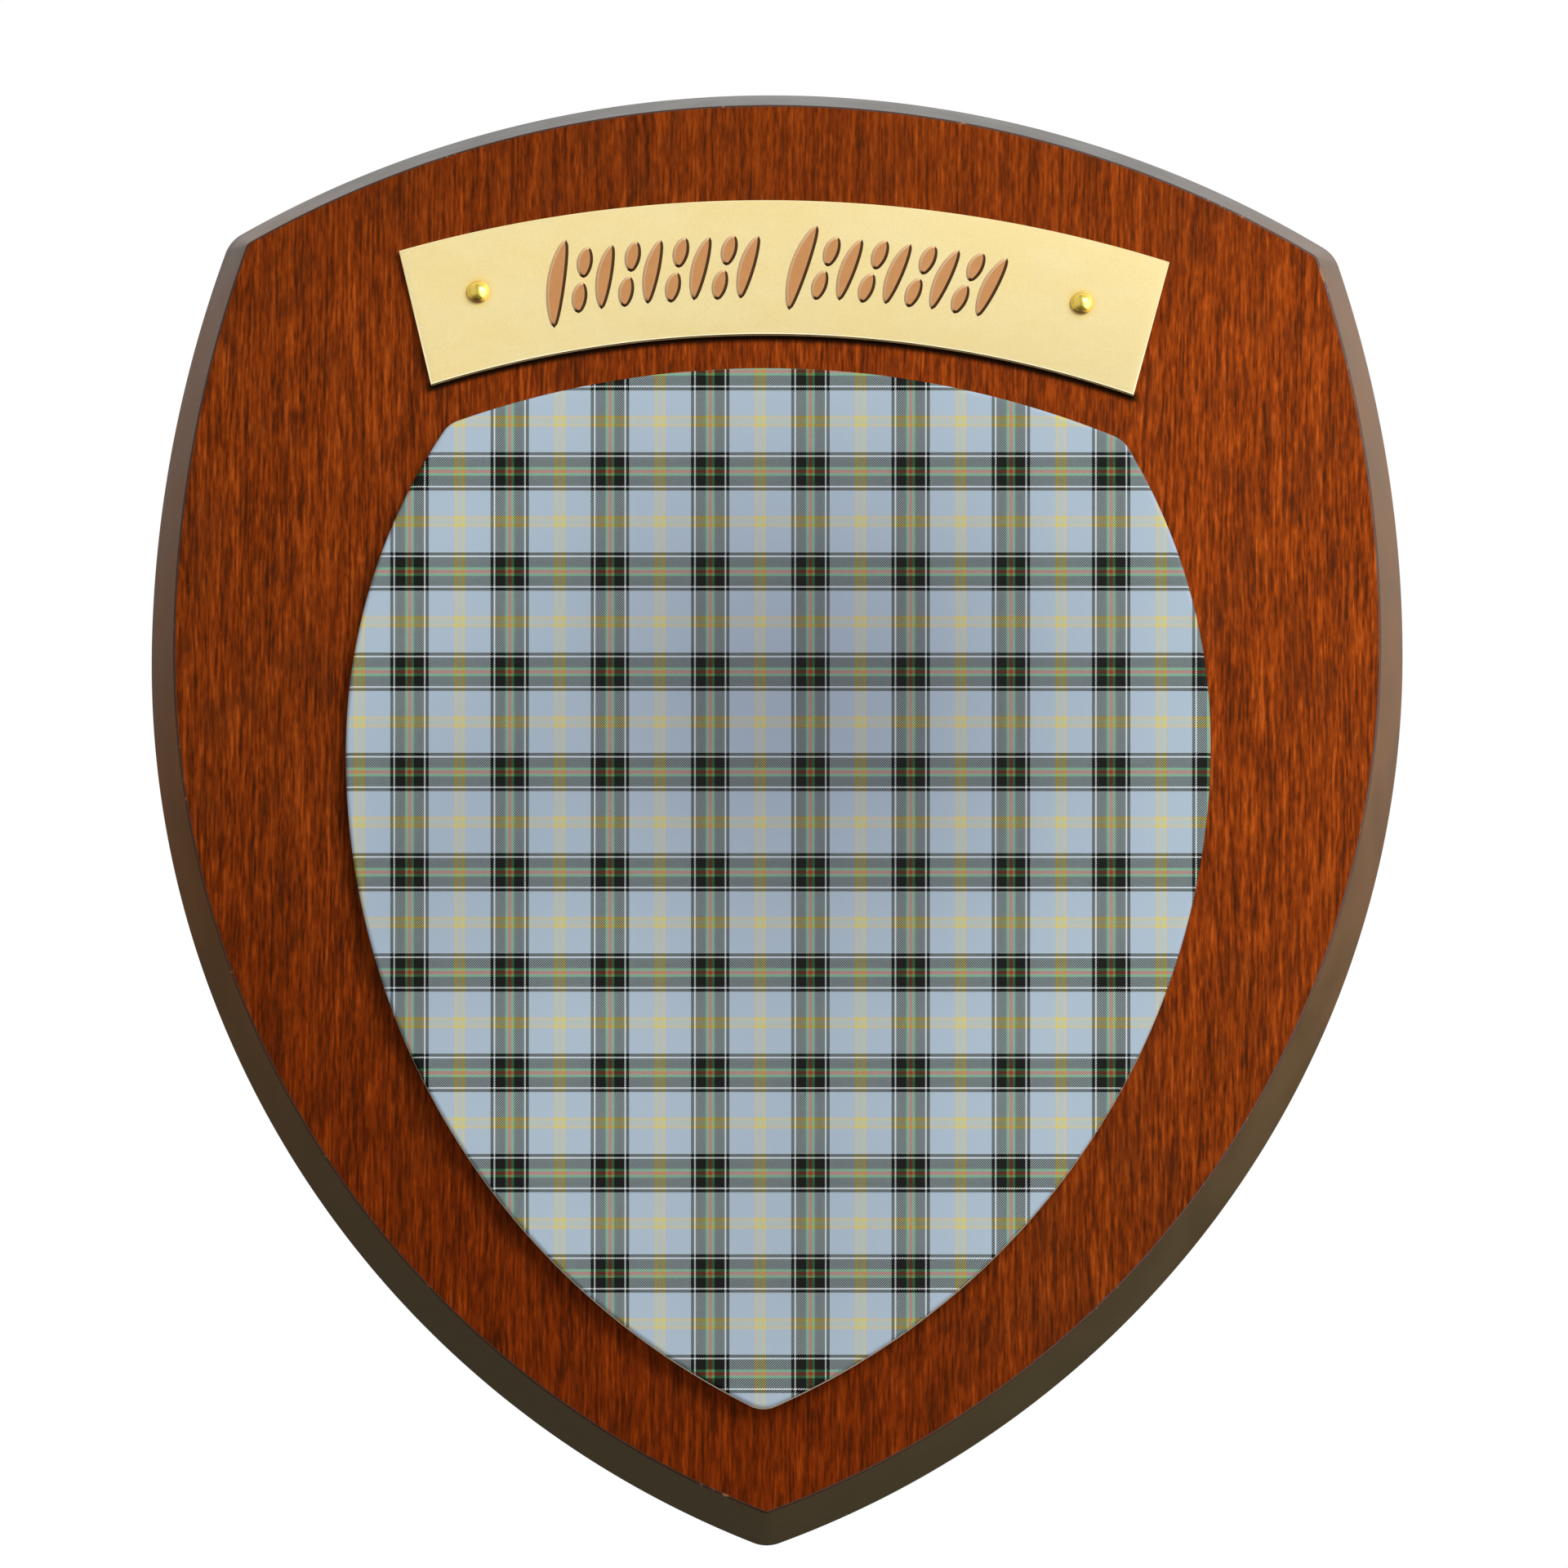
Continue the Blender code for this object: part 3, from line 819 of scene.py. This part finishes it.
def satin_brass():
    material, graph, place = new_material("satin_brass")
    x, _, z = graph.split(place)
    brushed = graph.noise(place, (2.6, 0.12, 0.12), 2.0, 0.6)
    speckle = graph.noise(place, (0.18, 0.18, 0.18), 2.0, 0.6)
    cloud = graph.noise(place, (9.0, 9.0, 5.0), 2.0)
    blush = graph.remap(cloud, 0.3, 0.7)
    tone = graph.mix(blush, seen(250, 227, 158), seen(250, 230, 166))
    # Painted reflection: a golden glow on the plate round each pin
    for _, middle in pin_places():
        painted_pin_reflection = graph.remap(graph.distance(x, z, middle), 1.5, 2.6, 0.7, 0.0)
        tone = graph.mix(painted_pin_reflection, tone, seen(255, 222, 124))
    grain = graph.total(graph.swing(brushed, 0.03), graph.swing(speckle, 0.08))
    # Painted light: the plate's colour is a little brighter towards its left end, on top of its brushed
    # grain
    light = graph.math("ADD", graph.remap(x, -50.0, 5.0, 0.77, 0.715), grain)
    set_shader(
        material,
        base_color=graph.brighten(tone, light),
        metallic=0.28,
        roughness=graph.remap(brushed, 0.3, 0.7, 0.40, 0.50),
        normal=graph.bump(speckle, 0.08, 0.01),
    )
    return material


def rubbed_rim():
    """The nameplate's rounded rim and side: a painted highlight where it turns down, painted shade
    underneath.
    """
    material, graph, place = new_material("rubbed_rim")
    wear = graph.noise(place, (1.5, 1.5, 1.5), 2.0)
    _, _, up = graph.facing()
    plain = graph.mix(wear, seen(226, 206, 146), seen(234, 216, 160))
    # Painted highlight where the rim starts to turn down, and painted shade, near black, where it faces
    # further down
    rubbed_and_highlit = graph.mix(graph.remap(up, 0.05, -0.20), plain, seen(255, 248, 206))
    set_shader(
        material,
        base_color=graph.mix(graph.remap(up, -0.40, -0.60), rubbed_and_highlit, seen(30, 20, 5)),
        metallic=0.0,
        roughness=0.50,
        specular_ior_level=0.1,
        normal=graph.bump(wear, 0.05, 0.02),
    )
    return material


def copper_stroke():
    """The raised strokes' tops, a copper tan that darkens in small clouds."""
    material, graph, place = new_material("copper_stroke")
    cloud = graph.noise(place, (1.4, 1.4, 1.4), 2.0)
    set_shader(
        material,
        base_color=graph.mix(cloud, seen(174, 118, 60), seen(188, 130, 74)),
        metallic=0.15,
        roughness=0.45,
        normal=graph.bump(cloud, 0.1, 0.02),
    )
    return material


def stroke_flank():
    """The strokes' bevels: a painted highlight to the upper left and painted shade to the lower right."""
    material, graph, place = new_material("stroke_flank")
    across, _, up = graph.facing()
    away = graph.math("SUBTRACT", across, up)
    shade_jitter = graph.noise(place, (0.8, 0.8, 0.8), 2.0)
    # Painted light: the bevel is pale where it faces up and left, dark where it faces down and right
    shade = graph.remap(graph.total(away, graph.swing(shade_jitter, 0.2)), -0.50, 0.10)
    set_shader(
        material,
        base_color=graph.mix(shade, seen(222, 184, 142), seen(56, 34, 12)),
        roughness=0.6,
        specular_ior_level=0.1,
    )
    return material


def bright_brass():
    """The pins' polished brass, with painted shade, dark brown, under their heads' lower edges."""
    material, graph, place = new_material("bright_brass")
    wear = graph.noise(place, (0.8, 0.8, 0.8), 2.0)
    across, _, up = graph.facing()
    aside = graph.math("MULTIPLY", across, -0.2)
    # Painted shade: the dome turns dark brown where it faces down and a little to the left
    low = graph.total(graph.math("MULTIPLY", up, -1.0), aside, graph.swing(wear, 0.15))
    polished = graph.mix(wear, seen(242, 204, 68), seen(252, 222, 94))
    set_shader(
        material,
        base_color=graph.mix(graph.remap(low, 0.60, 0.85), polished, seen(112, 62, 6)),
        metallic=0.80,
        roughness=graph.remap(wear, 0.3, 0.7, 0.20, 0.26),
        coat_weight=0.7,
        coat_ior=1.8,
        coat_roughness=0.12,
        normal=graph.bump(wear, 0.04, 0.01),
    )
    return material


def pale_floor():
    material, graph, place = new_material("pale_floor")
    cloud = graph.noise(place, (300.0, 300.0, 300.0), 2.0)
    set_shader(
        material,
        base_color=graph.mix(cloud, seen(226, 226, 224), seen(234, 234, 232)),
        roughness=0.7,
        specular_ior_level=0.2,
    )
    return material


# Pieces


def leaned(x, z, lean_deg):
    """The point (x, z) turned about the origin, so that what stands upright leans to the right."""
    lean = math.radians(lean_deg)
    return (x * math.cos(lean) + z * math.sin(lean), z * math.cos(lean) - x * math.sin(lean))


def plate_place(x, z):
    """A place on the leaning nameplate, by how far it lies to the right of its middle and above it."""
    turned_x, turned_z = leaned(x, z, PLATE_LEAN_DEG)
    return (PLATE_CENTRE_X + turned_x, PLATE_MIDDLE_Z + turned_z)


def on_plate(angle, radius):
    """A place on the nameplate, by its angle from upright about the upper arc's centre and its radius."""
    return plate_place(radius * math.sin(angle), radius * math.cos(angle) - PLATE_MIDDLE_RADIUS)


def pin_places():
    """Each pin's side, with its x and z."""
    places = []
    for side, aside, above in PINS:
        radius = PLATE_MIDDLE_RADIUS + above
        places.append((side, on_plate(math.asin(aside / radius), radius)))
    return places


def board_profile():
    """Every ring's depth from the back, inset and the material number of the strip before it."""
    edge, arris, face, back = 0, 1, 2, 3
    slope = EDGE_SLOPE_INSET / (BOARD_THICKNESS - EDGE_LAND)
    half_rounding = BACK_ROUNDING * (1 - math.sqrt(0.5))
    land_end = EDGE_LAND + LAND_ROUNDING
    profile = [
        (0.0, BACK_ROUNDING, back),
        (half_rounding, half_rounding, edge),
        (BACK_ROUNDING, 0.0, edge),
        (EDGE_LAND - LAND_ROUNDING, 0.0, edge),
        (EDGE_LAND, slope * LAND_ROUNDING / 4, edge),
        (land_end, slope * LAND_ROUNDING, edge),
    ]
    start = Vector((BOARD_THICKNESS - ARRIS_SIZE, EDGE_SLOPE_INSET - slope * ARRIS_SIZE))
    corner = Vector((BOARD_THICKNESS, EDGE_SLOPE_INSET))
    end = Vector((BOARD_THICKNESS, EDGE_SLOPE_INSET + ARRIS_SIZE))
    profile.append((*start, edge))
    for i in range(1, ARRIS_STEPS + 1):
        profile.append((*curve_point(start, corner, end, i / ARRIS_STEPS), arris))
    for width in FACE_RIM_WIDTHS:
        profile.append((BOARD_THICKNESS, EDGE_SLOPE_INSET + ARRIS_SIZE + width, face))
    return profile


def slot_outline(width, low_z, high_z):
    """An upright slot with half-round ends about the two heights, centred on x = 0."""
    upper = arc((0.0, high_z), width / 2, 0.0, math.pi, KEYHOLE_ROUND_STEPS) + [(-width / 2, high_z)]
    lower = arc((0.0, low_z), width / 2, math.pi, 2 * math.pi, KEYHOLE_ROUND_STEPS) + [(width / 2, low_z)]
    return upper + lower


def make_board():
    shield = Shield(
        BOARD_WIDTH,
        BOARD_APEX_Z,
        BOARD_CORNER_X,
        BOARD_CORNER_Z,
        BOARD_WIDEST_Z,
        BOARD_TIP_Z,
        BOARD_ROUNDING,
    )
    profile = board_profile()
    rings = [at_depth(shield.outline(inset), -depth) for depth, inset, _ in profile]
    bands = [band for _, _, band in profile[1:]]
    materials = [stained_edge(), worn_arris(), mahogany_face(), plain_back()]
    board = new_object("plaque_board", loft(rings, bands, (3, 2)), materials)

    bare = routed_wood()
    entry = circle((0.0, KEYHOLE_ENTRY_Z), KEYHOLE_ENTRY_DIAMETER, 2 * KEYHOLE_ROUND_STEPS)
    neck = slot_outline(KEYHOLE_NECK_WIDTH, KEYHOLE_ENTRY_Z, KEYHOLE_SEAT_Z)
    undercut = slot_outline(KEYHOLE_UNDERCUT_WIDTH, KEYHOLE_ENTRY_Z, KEYHOLE_SEAT_Z)
    middle_depth = (KEYHOLE_LIP + KEYHOLE_DEPTH) / 2
    cutters = [
        prism("keyhole_entry", entry, CUTTER_OVERRUN, -KEYHOLE_DEPTH, bare),
        prism("keyhole_neck", neck, CUTTER_OVERRUN, -middle_depth, bare),
        prism("keyhole_undercut", undercut, -KEYHOLE_LIP, -KEYHOLE_UNDERCUT_DEPTH, bare),
    ]
    hole_start, hole_end = BOARD_FRONT - CUTTER_OVERRUN, BOARD_FRONT + PIN_HOLE_DEPTH
    for _, place in pin_places():
        hole = circle(place, PIN_HOLE_DIAMETER, PIN_SIDES // 2)
        cutters.append(prism("pin_hole", hole, hole_end, hole_start, bare))
    cut_all(board, cutters)
    return stand_for(board, "backboard")


def leaning_outline(shield, inset=0.0):
    places = [leaned(x, z, SHIELD_LEAN_DEG) for x, z in shield.outline(inset)]
    return [(SHIELD_CENTRE_X + x, z) for x, z in places]


def make_tartan_panel():
    shield = Shield(
        SHIELD_WIDTH,
        SHIELD_APEX_Z,
        SHIELD_CORNER_X,
        SHIELD_CORNER_Z,
        SHIELD_WIDEST_Z,
        SHIELD_TIP_Z,
        SHIELD_ROUNDING,
    )
    core, cloth = 0, 1
    rings, bands = [at_depth(leaning_outline(shield), SHIELD_BACK)], [core]
    shoulder = SHIELD_THICKNESS - SHIELD_EDGE_RADIUS
    for i in range(SHIELD_EDGE_STEPS + 1):
        turn = math.pi / 2 * i / SHIELD_EDGE_STEPS
        inset = SHIELD_EDGE_RADIUS * (1 - math.cos(turn))
        depth = shoulder + SHIELD_EDGE_RADIUS * math.sin(turn)
        rings.append(at_depth(leaning_outline(shield, inset), SHIELD_BACK - depth))
        bands.append(cloth)
    panel = new_object("tartan_panel", loft(rings, bands, (core, cloth)), [cream_core(), tartan_cloth()])
    return stand_for(panel, "tartan_shield")


def plate_outline():
    """The nameplate's outline, along its upper arc to the right and back along its lower arc."""
    spread = [2 * i / PLATE_ARC_STEPS - 1 for i in range(PLATE_ARC_STEPS + 1)]
    top_angle = math.asin(PLATE_TOP_HALF_WIDTH / PLATE_TOP_RADIUS)
    outline = [on_plate(share * top_angle, PLATE_TOP_RADIUS) for share in spread]
    bottom_angle = math.asin(PLATE_BOTTOM_HALF_WIDTH / PLATE_BOTTOM_RADIUS)
    for share in spread:
        x = -PLATE_BOTTOM_RADIUS * math.sin(share * bottom_angle)
        sag = PLATE_BOTTOM_RADIUS * (1 - math.cos(share * bottom_angle))
        outline.append(plate_place(x, -PLATE_HEIGHT / 2 - sag))
    return outline


def stroke_row():
    """Each stroke's middle, as millimetres along and above the arch, with its height and greatest width."""
    row = []
    for group_start in GROUP_STARTS:
        row.append(((group_start, 0.0), TALL_STROKE))
        for i in range(1, STROKES_IN_GROUP):
            along = group_start + i * STROKE_SPACING
            if i % 2 == 0:
                row.append(((along, 0.0), SINGLE_STROKE))
                continue
            for above in (-SHORT_STROKE_OFFSET, SHORT_STROKE_OFFSET):
                row.append(((along + above * STROKE_LEAN, above), SHORT_STROKE))
    return row


def stroke_outline(middle, height, width, inset):
    """A leaning, bowed pen stroke, tapered to both ends and drawn in by the inset all round."""
    half_run = Vector((STROKE_LEAN, 1.0)) * height / 2
    start, end = Vector(middle) - half_run, Vector(middle) + half_run
    aside = Vector((-half_run.y, half_run.x)) * 2 * STROKE_BOW
    control = Vector(middle) + aside
    shortened = inset / (2 * half_run.length)
    left, right = [], []
    for i in range(STROKE_STEPS + 1):
        t = shortened + (1 - 2 * shortened) * i / STROKE_STEPS
        point = curve_point(start, control, end, t)
        along = (control - start) * (1 - t) + (end - control) * t
        normal = Vector((-along.y, along.x)).normalized()
        half = max(width / 2 * max(math.sin(math.pi * t), 0.0) ** STROKE_TAPER - inset, LEAST_HALF_STROKE)
        left.append(point + normal * half)
        right.append(point - normal * half)
    return left + right[::-1]


def add_strokes(bm, top, flank):
    """Adds every raised stroke to the nameplate's mesh, bent along its arch, with bevelled sides."""
    levels = (
        (PLATE_FRONT + STROKE_ROOT, 0.0),
        (PLATE_FRONT, 0.0),
        (PLATE_FRONT - STROKE_RISE, STROKE_BEVEL),
    )
    for middle, (height, width) in stroke_row():
        rings = []
        for y, inset in levels:
            flat = stroke_outline(middle, height, width, inset)
            bent = [on_plate(a / PLATE_MIDDLE_RADIUS, PLATE_MIDDLE_RADIUS + b) for a, b in flat]
            rings.append(at_depth(bent, y))
        loft(rings, (flank, flank), (flank, top), bm)


def make_nameplate():
    brass = satin_brass()
    outline = plate_outline()
    rings, bands = [at_depth(outline, PLATE_BACK)], [0]
    for i in range(PLATE_RIM_STEPS + 1):
        turn = math.pi / 2 * i / PLATE_RIM_STEPS
        inset = PLATE_RIM_WIDTH * (1 - math.cos(turn))
        depth = PLATE_THICKNESS - PLATE_RIM_DEPTH * (1 - math.sin(turn))
        rings.append(at_depth(inset_outline(outline, inset), PLATE_BACK - depth))
        bands.append(1)
    plate = new_object("brass_nameplate", loft(rings, bands, (0, 0)), [brass, rubbed_rim()])
    behind, before = PLATE_BACK + CUTTER_OVERRUN, PLATE_FRONT - CUTTER_OVERRUN
    holes = []
    for _, place in pin_places():
        hole = circle(place, PIN_HOLE_DIAMETER, PIN_SIDES // 2)
        holes.append(prism("pin_hole", hole, behind, before, brass))
    cut_all(plate, holes)

    bm = bmesh.new()
    bm.from_mesh(plate.data)
    count = len(plate.data.materials)
    add_strokes(bm, count, count + 1)
    bmesh.ops.recalc_face_normals(bm, faces=bm.faces)
    bm.to_mesh(plate.data)
    bm.free()
    plate.data.materials.append(copper_stroke())
    plate.data.materials.append(stroke_flank())
    return stand_for(plate, "nameplate")


def make_pin(side, place, material):
    """A domed pin along Y: a smooth cap over a flat underside, a round shank and a short point."""
    half_head = PIN_HEAD_DIAMETER / 2
    dome_radius = arc_radius(half_head, PIN_HEAD_HEIGHT)
    dome_centre = PIN_HEAD_HEIGHT - dome_radius
    half_angle = math.asin(half_head / dome_radius)
    profile = []
    for i in range(1, DOME_STEPS + 1):
        turn = half_angle * i / DOME_STEPS
        profile.append((dome_radius * math.sin(turn), dome_centre + dome_radius * math.cos(turn)))
    shank = PIN_SHANK_DIAMETER / 2
    profile.append((shank, 0.0))
    profile.append((shank, PIN_POINT_LENGTH - PIN_LENGTH))
    profile.append((shank * PIN_POINT_SHARE, -PIN_LENGTH))
    rings = []
    for radius, height in profile:
        ring = circle(place, 2 * radius, PIN_SIDES)
        rings.append(at_depth(ring, PIN_HEAD_BASE - height))
    pin = new_object(f"brass_pin_{side}", loft(rings, [0] * (len(rings) - 1), (0, 0)), [material])
    return stand_for(pin, f"nameplate_pin_{side}")


def make_floor():
    half = FLOOR_SIZE / 2
    corners = ((-half, -half), (half, -half), (half, half), (-half, half))
    bm = bmesh.new()
    bm.faces.new([bm.verts.new(Vector((x, y, FLOOR_Z)) * MM) for x, y in corners])
    floor = new_object("floor", bm, [pale_floor()])
    floor.visible_glossy = False


# Light and camera


# The soft room's light, and what polished surfaces mirror behind the plaque: the level at the camera's
# height, how much it gains upwards and to the right, and the least it falls to
ROOM_LIGHT = (0.42, 0.38, 0.10, 0.03)
BEHIND_LIGHT = (0.11, 1.65, 0.20, 0.06)

# What polished surfaces mirror before the plaque is darker below, and dimmer in an upright band about the
# camera, to this share
BEFORE_LIGHT = 0.72
BELOW_LIGHT = 0.06
DIM_BAND_X = -0.18
DIM_BAND_SHARE = 0.55

WINDOW_DIRECTION = (0.90, -0.43, -0.06)
WINDOW_LIGHT = 2.9


def sloped_light(graph, x, z, level, upwards, rightwards, least):
    """Light that changes evenly with the direction it comes from."""
    light = graph.total(level, graph.math("MULTIPLY", z, upwards), graph.math("MULTIPLY", x, rightwards))
    return graph.math("MAXIMUM", light, least)


def make_world():
    """White for the camera, and a soft room for all else, with a window that only polish mirrors."""
    world = bpy.data.worlds.new("studio")
    world.use_nodes = True
    bpy.context.scene.world = world
    tree = world.node_tree
    graph = Graph(tree)
    path = graph.add("ShaderNodeLightPath")
    direction = graph.add("ShaderNodeTexCoord").outputs["Generated"]
    x, y, z = graph.split(direction)
    soft = sloped_light(graph, x, z, *ROOM_LIGHT)

    behind = sloped_light(graph, x, z, *BEHIND_LIGHT)
    upward = graph.remap(z, -0.85, -0.25, BELOW_LIGHT, BEFORE_LIGHT)
    aside = graph.math("ABSOLUTE", graph.math("SUBTRACT", x, DIM_BAND_X))
    before = graph.math("MULTIPLY", upward, graph.remap(aside, 0.05, 0.30, DIM_BAND_SHARE, 1.0))
    window = graph.add("ShaderNodeVectorMath", operation="DOT_PRODUCT")
    graph.feed(window.inputs[0], direction)
    graph.feed(window.inputs[1], WINDOW_DIRECTION)
    window_light = graph.remap(window.outputs["Value"], 0.58, 0.90, 0.0, WINDOW_LIGHT)
    mirrored = graph.math("ADD", graph.blend(graph.remap(y, -0.15, 0.15), before, behind), window_light)

    room = graph.blend(path.outputs["Is Glossy Ray"], soft, mirrored)
    strength = graph.math("MAXIMUM", room, path.outputs["Is Camera Ray"])
    background = tree.nodes["Background"]
    background.inputs["Color"].default_value = (1.0, 1.0, 1.0, 1.0)
    graph.feed(background.inputs["Strength"], strength)


def make_key_light():
    """A square light aimed at the plaque's middle."""
    data = bpy.data.lights.new("key", "AREA")
    data.size = KEY_LIGHT_SIZE * MM
    data.energy = KEY_LIGHT_POWER
    lamp = bpy.data.objects.new("key", data)
    bpy.context.scene.collection.objects.link(lamp)
    lamp.location = Vector(KEY_LIGHT_PLACE) * MM
    lamp.rotation_mode = "QUATERNION"
    lamp.rotation_quaternion = (-lamp.location).to_track_quat("-Z", "Y")


def make_camera():
    tilt = math.radians(CAMERA_BELOW_DEG)
    roll = math.radians(CAMERA_ROLL_DEG)
    ahead = Vector((0.0, math.cos(tilt), math.sin(tilt)))
    level_up = Vector((0.0, -math.sin(tilt), math.cos(tilt)))
    level_right = Vector((1.0, 0.0, 0.0))
    right = level_right * math.cos(roll) + level_up * math.sin(roll)
    up = level_up * math.cos(roll) - level_right * math.sin(roll)
    data = bpy.data.cameras.new("camera")
    data.lens = CAMERA_LENS
    data.sensor_width = CAMERA_SENSOR
    data.clip_start, data.clip_end = CAMERA_CLIP_M
    camera = bpy.data.objects.new("camera", data)
    bpy.context.scene.collection.objects.link(camera)
    eye = (Vector(CAMERA_TARGET) - ahead * CAMERA_DISTANCE) * MM
    matrix = camera.matrix_world.copy()
    for row in range(3):
        matrix[row][0] = right[row]
        matrix[row][1] = up[row]
        matrix[row][2] = -ahead[row]
        matrix[row][3] = eye[row]
    camera.matrix_world = matrix
    bpy.context.scene.camera = camera


def main():
    make_board()
    make_tartan_panel()
    make_nameplate()
    pin_brass = bright_brass()
    for side, place in pin_places():
        make_pin(side, place, pin_brass)
    make_floor()
    make_world()
    make_key_light()
    make_camera()
    bpy.context.scene.view_settings.view_transform = "Standard"


main()
